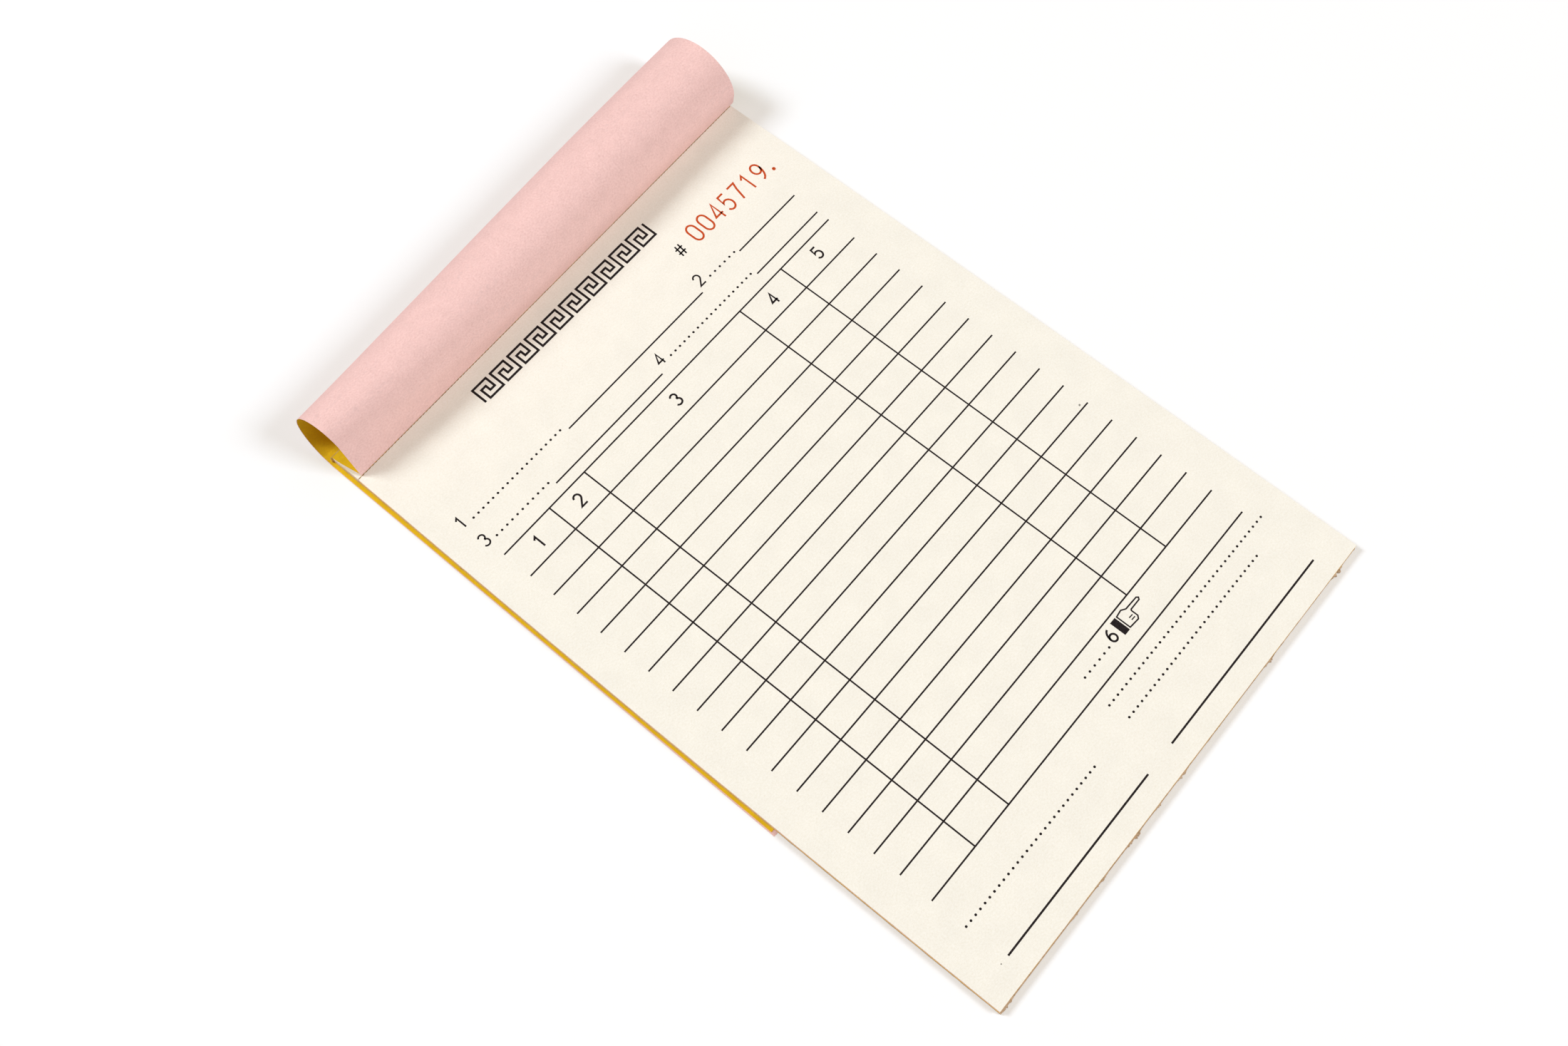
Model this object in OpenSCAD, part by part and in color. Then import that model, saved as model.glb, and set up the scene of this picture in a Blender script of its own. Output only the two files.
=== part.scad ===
// Receipt book with sets of three leaves: white original, yellow second copy, pink third copy.
// X runs across the page, +Y points to the bound head, +Z is up, and the book lies on z = 0.
// The first set's white original is torn off. Its two copies are folded up at the perforation,
// loop over the head and lie under the book, yellow inside the loop and pink outside.

/* [Page] */
// Width of every leaf
page_w = 114.3; // [90:0.1:150]
// Length of every leaf, from the head edge to the foot edge
page_l = 165.1; // [140:0.1:210]
// Width of the bound stub, from the head edge to the perforation
stub_w = 7.1; // [6:0.1:12]
// Width of the perforation cut between a leaf and its stub
perf_gap = 0.15; // [0.1:0.05:0.3]

/* [Paper] */
// Thickness of one sheet of paper
leaf_t = 0.06; // [0.05:0.01:0.1]
// Air between two sheets that lie on each other
leaf_gap = 0.015; // [0.01:0.005:0.03]
// Number of whole sets of three leaves left in the book
set_count = 5; // [1:1:8]

/* [Backing board] */
// Thickness of the board under the leaves
board_t = 0.45; // [0.45:0.05:1]

/* [Binding] */
// Thickness of the glue film on the head edge
glue_t = 0.25; // [0.1:0.05:0.5]
// Diameter of the staple wire
wire_d = 0.35; // [0.3:0.01:0.4]
// Clearance round the wire in the holes and the groove that it is pressed into
wire_gap = 0.02; // [0.01:0.01:0.04]
// Distance between the two legs of a staple
staple_w = 12; // [8:0.5:16]
// Distance from the side edge of the page to the nearer leg of a staple
staple_inset = 22; // [6:0.5:26]
// Distance from the head edge to the staples
staple_back = 3.5; // [2:0.1:4.5]
// Length of a clinched leg on top of the stubs
clinch_l = 4.5; // [2.5:0.1:5.5]

/* [Folded copies] */
// Radius of the loop over the head
loop_r = 8.7; // [7:0.05:11]
// Radius of the bend at the table, where the loop turns under the book
turn_r = 5.95; // [4:0.05:6.5]
// Space from the crease to the start of the rising sheet
crease_gap = 0.12; // [0.1:0.01:0.2]
// Gap between two neighbouring folds, which lets them hinge
bend_gap = 0.15; // [0.12:0.01:0.25]
// Distance that the rising sheet stands in from the left edge of the page
copy_inset = 1.25; // [0:0.05:1.5]
// Distance that the folded sheets drift to the left on their way round the loop
copy_drift = 2.75; // [0:0.05:4]

/* [Hidden] */
colours = ["white", "yellow", "pink"];
fold_count = 4;
folds = [for (k = [1 : fold_count]) k];
sets = [for (s = [1 : set_count]) s];

white = [0.98, 0.95, 0.89];
yellow = [0.93, 0.78, 0.25];
pink = [0.96, 0.78, 0.76];
kraft = [0.78, 0.68, 0.56];
steel = [0.75, 0.75, 0.77];
glue = [0.93, 0.91, 0.85];

pitch = leaf_t + leaf_gap;
head_y = page_l / 2;
foot_y = -page_l / 2;
crease_y = head_y - stub_w;
leaf_l = page_l - stub_w - perf_gap;

// Heights, from the table up
tail_z = leaf_t + leaf_gap / 2;
board_z = 2 * pitch;
first_leaf_z = board_z + board_t + leaf_gap;
stub_count = 3 * set_count + 2;
crease_z = first_leaf_z + (stub_count - 1) * pitch - leaf_gap / 2;
stub_top = first_leaf_z + stub_count * pitch - leaf_gap;

// The folded sheets' path: the rise from the crease to the top of the loop, four folds down to
// the table and under the head, and the tail. It is drawn in the plane of Y and Z, from the
// crease, for the surface between the two sheets.
fold_angle = 45;
folds_of_loop = 2;
rise_h = turn_r - (crease_z - tail_z);
turn_y = 2 * loop_r - turn_r;
tail_l = leaf_l + perf_gap - rise_h - PI * loop_r - PI / 2 * turn_r;
arc_step = 5.7;

staple_far = page_w / 2 - staple_inset - staple_w;
staple_y = head_y - staple_back;

// Height of the underside of leaf number n, counted from the board
function leaf_z(n) = first_leaf_z + n * pitch;

// Place of a leaf in the pile: set 1 is the top set and white is its top leaf
function leaf_number(s, c) = 3 * (set_count - s) + 2 - c;

// Points round an arc, from one angle to another
function arc(centre, r, from, to) =
    let (steps = ceil(abs(to - from) / arc_step))
        [for (i = [0 : steps]) let (a = from + (to - from) * i / steps) centre + r * [cos(a), sin(a)]];

// Half of a hinge gap, as an angle on an arc
function trim(r) = bend_gap / 2 / r * 180 / PI;

// One face of the rise, at the distance out from the middle surface of the two sheets
function rise_face(out) =
    concat([[-out, crease_gap]], arc([loop_r, rise_h], loop_r + out, 180, 90 + trim(loop_r)));

// One face of fold number k
function fold_face(k, out) =
    let (
        in_loop = k <= folds_of_loop,
        r = in_loop ? loop_r : turn_r,
        centre = [in_loop ? loop_r : turn_y, rise_h],
        start = 90 - fold_angle * (k - 1)
    )
    arc(centre, r + out, start - trim(r), start - fold_angle + trim(r));

function reversed(points) = [for (i = [len(points) - 1 : -1 : 0]) points[i]];

// How far the sheets have drifted to the left by fold number k; the rise is 0
function drift(k) = copy_inset - copy_drift * k / (fold_count + 1);

// Distances of a sheet's two faces from the middle surface: pink lies outside, yellow inside
function faces(c) = (c == "pink" ? 1 : -1) * [leaf_gap / 2, leaf_gap / 2 + leaf_t];

module leaf(n, colour) {
    color(colour)
        translate([-page_w / 2, foot_y, leaf_z(n)])
            cube([page_w, leaf_l, leaf_t]);
}

module leg_holes() {
    for (x = [-staple_far - staple_w, -staple_far, staple_far, staple_far + staple_w])
        translate([x, staple_y, 0])
            cylinder(h = stub_top + wire_d, d = wire_d + 2 * wire_gap, $fn = 24);
}

// The stubs of one colour, from the bottom of the pile up, joined by the binding alone
module stubs(c, colour) {
    own = [for (s = sets) leaf_number(s, c)];
    copy = c == 0 ? [] : [stub_count - c];
    color(colour)
        for (n = concat(own, copy))
            difference() {
                translate([-page_w / 2, crease_y, leaf_z(n)])
                    cube([page_w, stub_w, leaf_t]);
                leg_holes();
            }
}

// The board has a pressed groove under each staple
module backing_board() {
    color(kraft)
        difference() {
            translate([-page_w / 2, foot_y, board_z])
                cube([page_w, page_l, board_t]);
            leg_holes();
            for (side = [-1, 1])
                translate([
                    side * (staple_far + staple_w / 2) - staple_w / 2 - wire_d / 2 - wire_gap,
                    staple_y - wire_d / 2 - wire_gap,
                    board_z - wire_gap
                ])
                    cube([staple_w + wire_d + 2 * wire_gap, wire_d + 2 * wire_gap, wire_d + 2 * wire_gap]);
        }
}

module head_glue() {
    color(glue)
        translate([-page_w / 2, head_y, board_z])
            cube([page_w, glue_t, stub_top - board_z]);
}

module wire(from, to) {
    along = to - from;
    across = norm([along.x, along.y]);
    translate(from)
        rotate([0, atan2(across, along.z), atan2(along.y, along.x)])
            cylinder(h = norm(along), d = wire_d, $fn = 24);
}

// Crown under the board, legs up through the stubs and clinched ends bent inwards on top
module staple(side) {
    low = board_z + wire_d / 2;
    top = stub_top + leaf_gap + wire_d / 2;
    near = side * staple_far;
    far = side * (staple_far + staple_w);
    color(steel) {
        wire([near, staple_y, low], [far, staple_y, low]);
        for (leg = [[near, side], [far, -side]]) {
            wire([leg[0], staple_y, low], [leg[0], staple_y, top]);
            wire([leg[0], staple_y, top], [leg[0] + leg[1] * clinch_l, staple_y, top]);
            for (z = [low, top])
                translate([leg[0], staple_y, z])
                    sphere(d = wire_d, $fn = 24);
        }
    }
}

// A part of a folded sheet: its outline in the plane of Y and Z, drawn out across the page
module folded_sheet(outline, shift) {
    translate([shift - page_w / 2, crease_y, crease_z])
        rotate([90, 0, 90])
            linear_extrude(height = page_w)
                polygon(outline);
}

module copy_rise(c, colour) {
    face = faces(c);
    color(colour)
        folded_sheet(concat(rise_face(face[0]), reversed(rise_face(face[1]))), drift(0));
}

module copy_fold(k, c, colour) {
    face = faces(c);
    color(colour)
        folded_sheet(concat(fold_face(k, face[0]), reversed(fold_face(k, face[1]))), drift(k));
}

// The free end of a copy, flat under the book
module copy_tail(c, colour) {
    face = faces(c);
    middle = tail_z - crease_z;
    near = turn_y - bend_gap / 2;
    far = turn_y - tail_l;
    color(colour)
        folded_sheet([
            [near, middle - face[0]],
            [far, middle - face[0]],
            [far, middle - face[1]],
            [near, middle - face[1]]
        ], drift(fold_count + 1));
}

backing_board();
head_glue();
staple(-1);  // staple_left
staple(1);  // staple_right
stubs(0, white);  // white_stubs
stubs(1, yellow);  // yellow_stubs
stubs(2, pink);  // pink_stubs
for (s = sets) {
    leaf(leaf_number(s, 0), white);
    leaf(leaf_number(s, 1), yellow);
    leaf(leaf_number(s, 2), pink);
}
copy_rise("yellow", yellow);  // yellow_copy_rise
copy_rise("pink", pink);  // pink_copy_rise
for (k = folds) {
    copy_fold(k, "yellow", yellow);
    copy_fold(k, "pink", pink);
}
copy_tail("yellow", yellow);  // yellow_copy_tail
copy_tail("pink", pink);  // pink_copy_tail
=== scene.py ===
import math
import random

import bmesh
import bpy
import numpy as np
from mathutils import Matrix, Vector, noise


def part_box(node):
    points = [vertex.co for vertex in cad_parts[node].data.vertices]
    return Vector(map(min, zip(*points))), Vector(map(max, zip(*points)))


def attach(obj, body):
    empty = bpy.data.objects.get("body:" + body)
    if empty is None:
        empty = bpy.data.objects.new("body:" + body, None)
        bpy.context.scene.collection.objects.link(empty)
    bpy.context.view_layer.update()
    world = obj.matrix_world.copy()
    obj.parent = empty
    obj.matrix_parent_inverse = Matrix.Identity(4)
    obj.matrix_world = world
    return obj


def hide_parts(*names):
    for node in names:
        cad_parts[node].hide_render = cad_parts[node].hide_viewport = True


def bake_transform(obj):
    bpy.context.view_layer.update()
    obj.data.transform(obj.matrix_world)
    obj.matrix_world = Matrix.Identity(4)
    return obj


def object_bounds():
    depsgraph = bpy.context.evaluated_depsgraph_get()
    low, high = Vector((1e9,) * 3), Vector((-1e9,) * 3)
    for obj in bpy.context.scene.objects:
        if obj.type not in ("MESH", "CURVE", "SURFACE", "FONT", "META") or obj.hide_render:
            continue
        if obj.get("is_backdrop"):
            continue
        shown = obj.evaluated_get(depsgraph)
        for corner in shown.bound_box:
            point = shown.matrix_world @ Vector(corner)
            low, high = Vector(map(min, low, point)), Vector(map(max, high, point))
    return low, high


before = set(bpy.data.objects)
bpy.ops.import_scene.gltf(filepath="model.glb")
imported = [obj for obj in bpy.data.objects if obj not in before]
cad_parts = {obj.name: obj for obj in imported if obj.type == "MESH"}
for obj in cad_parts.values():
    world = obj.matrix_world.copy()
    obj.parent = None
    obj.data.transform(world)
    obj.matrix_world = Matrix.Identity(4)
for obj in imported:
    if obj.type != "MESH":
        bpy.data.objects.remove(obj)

cadLow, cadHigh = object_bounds()
mm = 0.001
scene = bpy.context.scene

# Lengths in the dictionaries are in millimetres, and colours are sRGB values from 0 to 255, unless
# a note says otherwise. X runs across the page, Y to the bound head and Z up.


def fromSrgb(colour):
    # screen colour to the linear value that a shader takes
    steps = [c / 255 for c in colour]
    return tuple(c / 12.92 if c <= 0.04045 else ((c + 0.055) / 1.055) ** 2.4 for c in steps) + (1.0,)


def addObject(name, thing):
    added = bpy.data.objects.new(name, thing)
    scene.collection.objects.link(added)
    return added


def meshFrom(name, points, faces, uvs=None, sharpAngle=40):
    mesh = bpy.data.meshes.new(name)
    mesh.from_pydata([Vector(p) * mm for p in points], [], faces)
    if uvs is not None:
        layer = mesh.uv_layers.new(name="sheet")
        for loop in mesh.loops:
            layer.data[loop.index].uv = [c * mm for c in uvs[loop.vertex_index]]
    build = bmesh.new()
    build.from_mesh(mesh)
    bmesh.ops.recalc_face_normals(build, faces=build.faces)
    build.to_mesh(mesh)
    build.free()
    mesh.shade_smooth()
    mesh.set_sharp_from_angle(angle=math.radians(sharpAngle))
    return addObject(name, mesh)


# ---- material nodes

def newMaterial(name):
    material = bpy.data.materials.new(name)
    material.use_nodes = True
    tree = material.node_tree
    return material, tree, tree.nodes["Principled BSDF"]


def millimetres(tree, onSheet):
    # coordinates in millimetres, along the sheet itself or in the object's own space
    source = tree.nodes.new("ShaderNodeTexCoord")
    scaled = tree.nodes.new("ShaderNodeMapping")
    scaled.inputs["Scale"].default_value = (1000, 1000, 1000)
    tree.links.new(source.outputs["UV" if onSheet else "Object"], scaled.inputs["Vector"])
    return scaled.outputs["Vector"]


def stretched(tree, where, scale):
    mapping = tree.nodes.new("ShaderNodeMapping")
    mapping.inputs["Scale"].default_value = scale
    tree.links.new(where, mapping.inputs["Vector"])
    return mapping.outputs["Vector"]


def noiseNode(tree, where, scale, detail=3.0, rough=0.5):
    texture = tree.nodes.new("ShaderNodeTexNoise")
    texture.inputs["Scale"].default_value = scale
    texture.inputs["Detail"].default_value = detail
    texture.inputs["Roughness"].default_value = rough
    tree.links.new(where, texture.inputs["Vector"])
    return texture.outputs["Fac"]


def rampNode(tree, value, stops):
    ramp = tree.nodes.new("ShaderNodeValToRGB")
    while len(ramp.color_ramp.elements) < len(stops):
        ramp.color_ramp.elements.new(0.5)
    for element, (position, colour) in zip(ramp.color_ramp.elements, stops):
        element.position = position
        element.color = colour
    tree.links.new(value, ramp.inputs["Fac"])
    return ramp.outputs["Color"]


def mathNode(tree, operation, first, second):
    node = tree.nodes.new("ShaderNodeMath")
    node.operation = operation
    for value, socket in ((first, node.inputs[0]), (second, node.inputs[1])):
        if isinstance(value, bpy.types.NodeSocket):
            tree.links.new(value, socket)
        else:
            socket.default_value = value
    return node.outputs[0]


def mixColour(tree, amount, first, second, how="MIX"):
    mix = tree.nodes.new("ShaderNodeMix")
    mix.data_type = "RGBA"
    mix.blend_type = how
    for value, socket in ((amount, mix.inputs[0]), (first, mix.inputs[6]), (second, mix.inputs[7])):
        if isinstance(value, bpy.types.NodeSocket):
            tree.links.new(value, socket)
        else:
            socket.default_value = value
    return mix.outputs[2]


def bumpNode(tree, height, strength, distance):
    bump = tree.nodes.new("ShaderNodeBump")
    bump.inputs["Strength"].default_value = strength
    bump.inputs["Distance"].default_value = distance * mm
    tree.links.new(height, bump.inputs["Height"])
    return bump.outputs["Normal"]


# ---- camera, light and floor

camera = {
    "place": (-122.97, -82.2, 329.5),
    "right": (0.6378, -0.7701, 0.0125),  # directions of the picture's right and upper side
    "up": (0.7031, 0.5887, 0.3989),
    "lens": 42.27, "sensor": 36,
    "clip": (0.01, 20),  # metres
}

cameraData = bpy.data.cameras.new("photoCamera")
cameraData.lens = camera["lens"]
cameraData.sensor_width = camera["sensor"]
cameraData.clip_start, cameraData.clip_end = camera["clip"]
photoCamera = addObject("photoCamera", cameraData)
right = Vector(camera["right"]).normalized()
up = (Vector(camera["up"]) - right * right.dot(Vector(camera["up"]))).normalized()
back = right.cross(up)
turn = Matrix((right, up, back)).transposed().to_4x4()
photoCamera.matrix_world = Matrix.Translation(Vector(camera["place"]) * mm) @ turn
scene.camera = photoCamera
scene.view_settings.view_transform = "Standard"
print("camera placed")

lights = {
    # warm light from all round and slightly cooler lamps add up to white on the page; these two
    # colours are shares of red, green and blue light
    "world": 0.28,
    "worldColour": (1.150, 0.955, 0.820),
    "lampColour": (0.947, 1.016, 1.063),
    # two softboxes, one on each side of the view: place and size in metres, power in watts
    "softboxes": [
        ("leftSoftbox", (-0.860, 1.510, 1.640), 0.66, 36.2),
        ("rightSoftbox", (0.800, -1.590, 1.606), 0.80, 32.0),
    ],
}

world = bpy.data.worlds.new("studio")
world.use_nodes = True
scene.world = world
worldNodes, worldLinks = world.node_tree.nodes, world.node_tree.links
worldNodes.clear()
worldLight = worldNodes.new("ShaderNodeBackground")
worldLight.inputs["Color"].default_value = (*lights["worldColour"], 1)
worldLight.inputs["Strength"].default_value = lights["world"]
worldSeen = worldNodes.new("ShaderNodeBackground")
worldSeen.inputs["Color"].default_value = (1, 1, 1, 1)
worldSeen.inputs["Strength"].default_value = 1.0
worldPath = worldNodes.new("ShaderNodeLightPath")
worldMix = worldNodes.new("ShaderNodeMixShader")
worldOut = worldNodes.new("ShaderNodeOutputWorld")
worldLinks.new(worldPath.outputs["Is Camera Ray"], worldMix.inputs["Fac"])
worldLinks.new(worldLight.outputs[0], worldMix.inputs[1])
worldLinks.new(worldSeen.outputs[0], worldMix.inputs[2])
worldLinks.new(worldMix.outputs[0], worldOut.inputs["Surface"])

for lightName, place, size, power in lights["softboxes"]:
    lamp = bpy.data.lights.new(lightName, "AREA")
    lamp.shape = "SQUARE"
    lamp.size = size
    lamp.energy = power
    lamp.color = lights["lampColour"]
    lampObject = addObject(lightName, lamp)
    lampObject.location = place
    lampObject.rotation_mode = "QUATERNION"
    lampObject.rotation_quaternion = (-Vector(place)).to_track_quat("-Z", "Y")

floorLook = {
    "colour": (210, 213, 221),
    # what the floor adds for the camera, so that it is white without shadow
    "glow": (255, 244, 218), "glowStrength": 0.32,
    "half": 900, "drop": 0.02,  # half its width, and how far it lies below the book
    "clearance": 0.4,  # how near to the floor it lets light through to the underside
}

half, drop = floorLook["half"], floorLook["drop"]
floor = meshFrom(
    "floor",
    [(-half, -half, -drop), (half, -half, -drop), (half, half, -drop), (-half, half, -drop)],
    [(0, 1, 2, 3)],
)
if floor.data.polygons[0].normal.z < 0:
    floor.data.flip_normals()
floorMaterial = bpy.data.materials.new("paleTable")
floorMaterial.use_nodes = True
tree = floorMaterial.node_tree
tree.nodes.clear()
floorDiffuse = tree.nodes.new("ShaderNodeBsdfDiffuse")
floorDiffuse.inputs["Color"].default_value = fromSrgb(floorLook["colour"])
floorGlow = tree.nodes.new("ShaderNodeEmission")
floorGlow.inputs["Color"].default_value = fromSrgb(floorLook["glow"])
path = tree.nodes.new("ShaderNodeLightPath").outputs
seenDirect = mathNode(tree, "MAXIMUM", path["Is Camera Ray"], path["Is Glossy Ray"])
glowStrength = mathNode(tree, "MULTIPLY", seenDirect, floorLook["glowStrength"])
tree.links.new(glowStrength, floorGlow.inputs["Strength"])
floorSum = tree.nodes.new("ShaderNodeAddShader")
tree.links.new(floorDiffuse.outputs[0], floorSum.inputs[0])
tree.links.new(floorGlow.outputs[0], floorSum.inputs[1])
# from below the floor is clear, and it lets light reach what lies on it, so that the underside
# of the book can be looked at
below = tree.nodes.new("ShaderNodeNewGeometry").outputs["Backfacing"]
nearFloor = mathNode(tree, "LESS_THAN", path["Ray Length"], floorLook["clearance"] * mm)
floorMix = tree.nodes.new("ShaderNodeMixShader")
tree.links.new(mathNode(tree, "MAXIMUM", below, nearFloor), floorMix.inputs["Fac"])
tree.links.new(floorSum.outputs[0], floorMix.inputs[1])
tree.links.new(tree.nodes.new("ShaderNodeBsdfTransparent").outputs[0], floorMix.inputs[2])
tree.links.new(floorMix.outputs[0], tree.nodes.new("ShaderNodeOutputMaterial").inputs["Surface"])
floor.data.materials.append(floorMaterial)
floor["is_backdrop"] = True
print("floor and lights placed")


# ---- materials

def fleckMask(tree, where, cell, radius, share, wobbleScale=2.2):
    # small flecks of uneven size and outline, one at most in each cell
    wobble = tree.nodes.new("ShaderNodeTexNoise")
    wobble.inputs["Scale"].default_value = wobbleScale
    tree.links.new(where, wobble.inputs["Vector"])
    moved = tree.nodes.new("ShaderNodeVectorMath")
    moved.operation = "MULTIPLY_ADD"
    moved.inputs[1].default_value = (radius, radius, radius)
    tree.links.new(wobble.outputs["Color"], moved.inputs[0])
    tree.links.new(where, moved.inputs[2])
    cells = tree.nodes.new("ShaderNodeTexVoronoi")
    cells.inputs["Scale"].default_value = 1 / cell
    cells.inputs["Randomness"].default_value = 1.0
    tree.links.new(moved.outputs[0], cells.inputs["Vector"])
    parts = tree.nodes.new("ShaderNodeSeparateColor")
    tree.links.new(cells.outputs["Color"], parts.inputs["Color"])
    chosen = mathNode(tree, "LESS_THAN", parts.outputs[0], share)
    reach = mathNode(tree, "MULTIPLY", parts.outputs[1], radius / cell)
    inside = mathNode(tree, "LESS_THAN", cells.outputs["Distance"], reach)
    return mathNode(tree, "MULTIPLY", chosen, inside)


def grey(value):
    return (value, value, value, 1)


paperSurface = {
    # noises: detail and roughness, after the scale where all papers share it; ranges: their ends
    "cloud": (4.0, 0.6), "cloudRange": (0.35, 0.65), "lighter": 0.6,
    "grain": (5.0, 0.7), "grainRange": (0.32, 0.68), "grainHeight": 0.03,
    "fibre": (1.9, 2.0, 0.5), "fibreShape": (0.9, 3.4, 1.0), "fibreRange": (0.40, 0.47),
    "rubbed": (1.0, 2.0, 0.5), "rubbedShape": (0.9, 1.2, 1.0), "rubbedRange": (0.45, 0.75),
    "rubbedArea": (0.045, 1.0, 0.5), "rubbedAreaRange": (0.42, 0.60),
    "roughnessRange": (0.2, 0.8), "roughness": (0.80, 0.94),
}


def between(tree, value, ends, first, second):
    # a colour ramp with a first and a second colour at two places
    return rampNode(tree, value, [(ends[0], first), (ends[1], second)])


def rubbedRows(tree, where, look):
    # how much is rubbed off at each place, in rows as if by writing on the sheets above
    surface = paperSurface
    stretchedWhere = stretched(tree, where, surface["rubbedShape"])
    patch = noiseNode(tree, stretchedWhere, *surface["rubbed"])
    patch = between(tree, patch, surface["rubbedRange"], grey(0), grey(1))
    area = noiseNode(tree, where, *surface["rubbedArea"])
    area = between(tree, area, surface["rubbedAreaRange"], grey(0), grey(1))
    split = tree.nodes.new("ShaderNodeSeparateXYZ")
    tree.links.new(where, split.inputs[0])
    turns = mathNode(tree, "MULTIPLY", split.outputs[1], 2 * math.pi / look["rowPitch"])
    row = mathNode(tree, "SINE", turns, 0.0)
    row = mathNode(tree, "MAXIMUM", row, 0.0)
    amount = mathNode(tree, "MULTIPLY", patch, row)
    amount = mathNode(tree, "MULTIPLY", amount, look["strength"])
    return mathNode(tree, "MULTIPLY", amount, area)


def paperMaterial(name, look):
    surface, white = paperSurface, grey(1)
    material, tree, shader = newMaterial(name)
    where = millimetres(tree, onSheet=True)
    cloud = noiseNode(tree, where, look["cloudScale"], *surface["cloud"])
    dark = fromSrgb([c * (1 - look["mottle"]) for c in look["colour"]])
    light = fromSrgb([min(255, c * (1 + look["mottle"] * surface["lighter"])) for c in look["colour"]])
    colour = between(tree, cloud, surface["cloudRange"], dark, light)
    grain = noiseNode(tree, where, look["grainScale"], *surface["grain"])
    grainTint = between(tree, grain, surface["grainRange"], fromSrgb(look["grainDark"]), white)
    colour = mixColour(tree, 1.0, colour, grainTint, "MULTIPLY")
    # short pulp fibres, a little darker than the sheet
    fibre = noiseNode(tree, stretched(tree, where, surface["fibreShape"]), *surface["fibre"])
    fibreTint = between(tree, fibre, surface["fibreRange"], fromSrgb(look["fibreDark"]), white)
    colour = mixColour(tree, 1.0, colour, fibreTint, "MULTIPLY")
    for cell, radius, share, fleck, strength in look["flecks"]:
        mask = fleckMask(tree, where, cell, radius, share)
        amount = mathNode(tree, "MULTIPLY", mask, strength)
        colour = mixColour(tree, amount, colour, fromSrgb(fleck))
    if "rubbed" in look:
        amount = rubbedRows(tree, where, look["rubbed"])
        colour = mixColour(tree, amount, colour, fromSrgb(look["rubbed"]["tint"]))
    tree.links.new(colour, shader.inputs["Base Color"])
    low, high = (grey(value) for value in surface["roughness"])
    roughness = between(tree, grain, surface["roughnessRange"], low, high)
    tree.links.new(roughness, shader.inputs["Roughness"])
    shader.inputs["Specular IOR Level"].default_value = look["gloss"]
    height = bumpNode(tree, grain, look["bump"], surface["grainHeight"])
    tree.links.new(height, shader.inputs["Normal"])
    return material


whitePaper = {
    "colour": (248, 243, 232), "mottle": 0.010, "cloudScale": 0.16, "grainScale": 2.6,
    "grainDark": (246, 244, 240), "fibreDark": (252, 251, 249), "gloss": 0.20, "bump": 0.35,
    "flecks": [
        # cell, radius, share of cells, colour, strength
        (5.5, 0.16, 0.30, (190, 180, 166), 0.60),
        (11.0, 0.30, 0.36, (100, 94, 88), 0.80),
        (9.0, 0.20, 0.15, (204, 172, 150), 0.50),
    ],
}
pinkPaper = {
    "colour": (250, 211, 205), "mottle": 0.014, "cloudScale": 0.35, "grainScale": 2.4,
    "grainDark": (239, 231, 230), "fibreDark": (250, 246, 245), "gloss": 0.20, "bump": 0.40,
    "flecks": [
        (4.0, 0.17, 0.25, (214, 168, 164), 0.60),
        (14.0, 0.32, 0.30, (74, 54, 54), 0.85),
        (8.0, 0.20, 0.20, (250, 232, 226), 0.55),
    ],
    "rubbed": {"rowPitch": 6.0, "tint": (208, 176, 174), "strength": 0.30},
}
yellowPaper = {
    "colour": (252, 209, 34), "mottle": 0.030, "cloudScale": 0.30, "grainScale": 3.0,
    "grainDark": (246, 240, 226), "fibreDark": (250, 246, 238), "gloss": 0.20, "bump": 0.40,
    "flecks": [
        (3.2, 0.20, 0.35, (196, 152, 40), 0.60),
        (12.0, 0.28, 0.20, (100, 80, 40), 0.75),
    ],
}

whiteSheet = paperMaterial("whiteCarbonless", whitePaper)
pinkSheet = paperMaterial("pinkCopyPaper", pinkPaper)
yellowSheet = paperMaterial("yellowCopyPaper", yellowPaper)


def inkMaterial(name, look):
    # ink that lies thinner where the paper's grain stands up
    material, tree, shader = newMaterial(name)
    where = millimetres(tree, onSheet=False)
    cover = noiseNode(tree, where, *look["grain"])
    colour = between(tree, cover, look["wear"], fromSrgb(look["colour"]), fromSrgb(look["worn"]))
    tree.links.new(colour, shader.inputs["Base Color"])
    shader.inputs["Roughness"].default_value = look["roughness"]
    shader.inputs["Specular IOR Level"].default_value = look["gloss"]
    return material


blackInk = inkMaterial("blackPrint", {
    "colour": (20, 14, 16), "worn": (58, 48, 46), "wear": (0.40, 0.80), "grain": (5.0, 4.0, 0.7),
    "roughness": 0.75, "gloss": 0.15})
redInk = inkMaterial("redPrint", {
    "colour": (188, 62, 16), "worn": (218, 108, 54), "wear": (0.40, 0.80), "grain": (3.4, 4.0, 0.7),
    "roughness": 0.75, "gloss": 0.15})


def boardMaterial(name, look):
    # pressed tan pulp in thin layers, with darker flecks
    material, tree, shader = newMaterial(name)
    where = millimetres(tree, onSheet=False)
    layers = noiseNode(tree, stretched(tree, where, look["layerShape"]), *look["layers"])
    stops = zip(look["layerStops"], (look["dark"], look["colour"], look["light"]))
    colour = rampNode(tree, layers, [(place, fromSrgb(tone)) for place, tone in stops])
    mask = fleckMask(tree, where, *look["flecks"])
    amount = mathNode(tree, "MULTIPLY", mask, look["fleckStrength"])
    colour = mixColour(tree, amount, colour, fromSrgb(look["fleck"]))
    tree.links.new(colour, shader.inputs["Base Color"])
    shader.inputs["Roughness"].default_value = look["roughness"]
    shader.inputs["Specular IOR Level"].default_value = look["gloss"]
    tree.links.new(bumpNode(tree, layers, *look["bump"]), shader.inputs["Normal"])
    return material


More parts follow.
